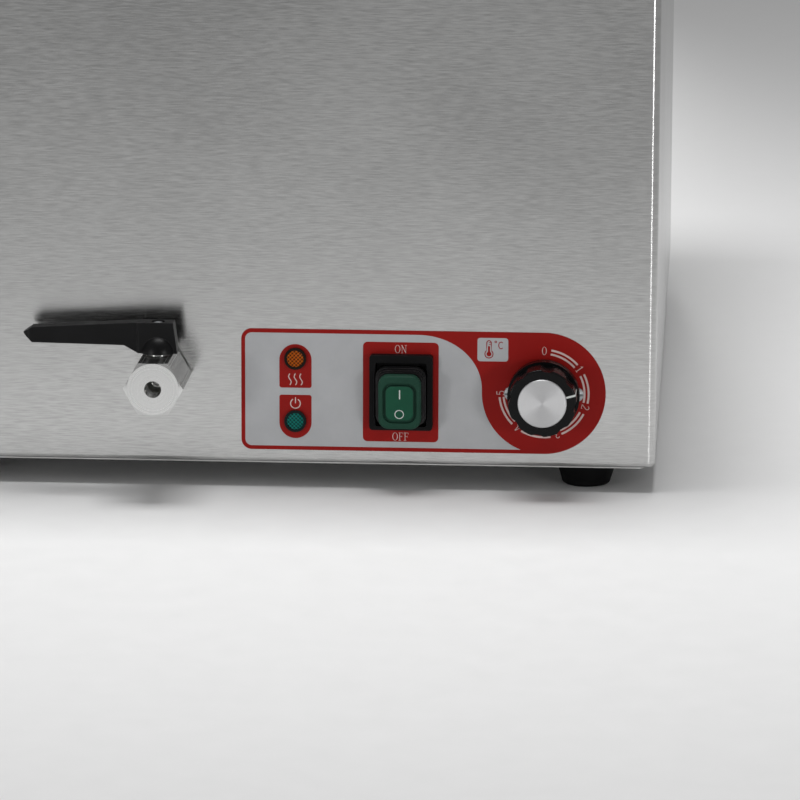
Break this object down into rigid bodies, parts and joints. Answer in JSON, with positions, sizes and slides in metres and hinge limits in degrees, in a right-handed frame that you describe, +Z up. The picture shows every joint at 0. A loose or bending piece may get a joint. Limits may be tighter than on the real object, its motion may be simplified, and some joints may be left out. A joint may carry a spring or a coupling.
{
  "type": "bain marie food warmer",
  "caption": "Countertop bain marie: brushed steel cabinet around a heated water tank with lift-out lidded pans, a red control panel with dial, rocker switch and lamps, and a drain valve.",
  "frame": {"origin": "on the table, in the middle of the overall footprint", "axes": "+X to the user's right, +Y from the control panel to the rear, +Z up"},
  "size_m": [0.34, 0.601, 0.272],
  "materials": {
    "cabinet_steel": "brushed, grain level",
    "tank_steel": "pressed satin sheet",
    "handle_steel": "polished rod",
    "zinc_screws": "bright zinc",
    "foot_rubber": "matte black",
    "element_sheath": "dull heat-tinted sheath",
    "seal_rubber": "matte red silicone",
    "fitting_brass": "turned",
    "drain_steel": "drawn tube",
    "valve_chrome": "plated, turned end face",
    "seat_plastic": "white, smooth",
    "lever_plastic": "moulded black",
    "label_film": "printed film, red border on a light grey field",
    "ceramic_body": "ivory moulding",
    "knob_plastic": "gloss black",
    "cap_aluminium": "spun, fine rings",
    "copper_tube": "bare copper",
    "switch_plastic": "moulded black",
    "boot_rubber": "soft black",
    "rocker_green": "dark green",
    "lens_amber": "amber, cross-grooved",
    "lens_green": "blue-green, cross-grooved",
    "lamp_rim": "dark tinted rim",
    "gland_plastic": "moulded black",
    "wire_insulation": "silicone sleeve"
  },
  "bodies": {
    "cabinet": {"outer_shell": "cabinet_steel", "base_plate": "cabinet_steel", "base_screws": "zinc_screws", "foot_front_left": "foot_rubber", "foot_front_right": "foot_rubber", "foot_rear_left": "foot_rubber", "foot_rear_right": "foot_rubber", "foot_screws": "zinc_screws", "foot_nuts": "zinc_screws", "water_tank": "tank_steel", "heating_element": "element_sheath", "element_seals": "seal_rubber", "element_nuts": "fitting_brass", "drain_elbow": "drain_steel", "drain_nipple": "valve_chrome", "drain_locknut": "valve_chrome", "drain_washer": "seat_plastic", "valve_body": "valve_chrome", "valve_seats": "seat_plastic", "control_label": "label_film", "thermostat_body": "ceramic_body", "thermostat_screws": "zinc_screws", "capillary_tube": "copper_tube", "sensor_bulb": "copper_tube", "sensor_gland": "fitting_brass", "switch_bezel": "switch_plastic", "switch_housing": "switch_plastic", "switch_terminals": "fitting_brass", "heat_lamp_lens": "lens_amber", "heat_lamp_rim": "lamp_rim", "heat_lamp_body": "switch_plastic", "power_lamp_lens": "lens_green", "power_lamp_rim": "lamp_rim", "power_lamp_body": "switch_plastic", "cable_gland": "gland_plastic", "gland_cap": "gland_plastic", "gland_locknut": "gland_plastic", "terminal_block": "ceramic_body", "earth_stud": "fitting_brass", "wiring_loom": "wire_insulation"},
    "knob": {"control_knob": "knob_plastic", "knob_cap": "cap_aluminium", "thermostat_shaft": "fitting_brass"},
    "rocker": {"switch_rocker": "rocker_green", "switch_boot": "boot_rubber"},
    "lever": {"valve_lever": "lever_plastic", "lever_screw": "zinc_screws", "valve_stem": "valve_chrome", "valve_ball": "valve_chrome"},
    "front_pan": {"pan_front": "tank_steel"},
    "middle_pan": {"pan_middle": "tank_steel"},
    "rear_pan": {"pan_rear": "tank_steel"},
    "front_lid": {"lid_front": "tank_steel", "lid_handle_front": "handle_steel"},
    "middle_lid": {"lid_middle": "tank_steel", "lid_handle_middle": "handle_steel"},
    "rear_lid": {"lid_rear": "tank_steel", "lid_handle_rear": "handle_steel"}
  },
  "joints": [
    {"name": "knob_turn", "type": "hinge", "parent": "cabinet", "child": "knob", "pos_m": [0.122, -0.2615, 0.0432], "axis": [0, 1, 0], "range_deg": [-75, 195]},
    {"name": "rocker_tilt", "type": "hinge", "parent": "cabinet", "child": "rocker", "pos_m": [0.0607, -0.2615, 0.0424], "axis": [1, 0, 0], "range_deg": [-14, 0]},
    {"name": "lever_turn", "type": "hinge", "parent": "cabinet", "child": "lever", "pos_m": [-0.0424, -0.2775, 0.0501], "axis": [0, 0, 1], "range_deg": [0, 90]},
    {"name": "front_pan_lift", "type": "slide", "parent": "cabinet", "child": "front_pan", "axis": [0, 0, 1], "range_m": [0, 0.15]},
    {"name": "middle_pan_lift", "type": "slide", "parent": "cabinet", "child": "middle_pan", "axis": [0, 0, 1], "range_m": [0, 0.15]},
    {"name": "rear_pan_lift", "type": "slide", "parent": "cabinet", "child": "rear_pan", "axis": [0, 0, 1], "range_m": [0, 0.15]},
    {"name": "front_lid_lift", "type": "slide", "parent": "front_pan", "child": "front_lid", "axis": [0, 0, 1], "range_m": [0, 0.12]},
    {"name": "middle_lid_lift", "type": "slide", "parent": "middle_pan", "child": "middle_lid", "axis": [0, 0, 1], "range_m": [0, 0.12]},
    {"name": "rear_lid_lift", "type": "slide", "parent": "rear_pan", "child": "rear_lid", "axis": [0, 0, 1], "range_m": [0, 0.12]}
  ]
}
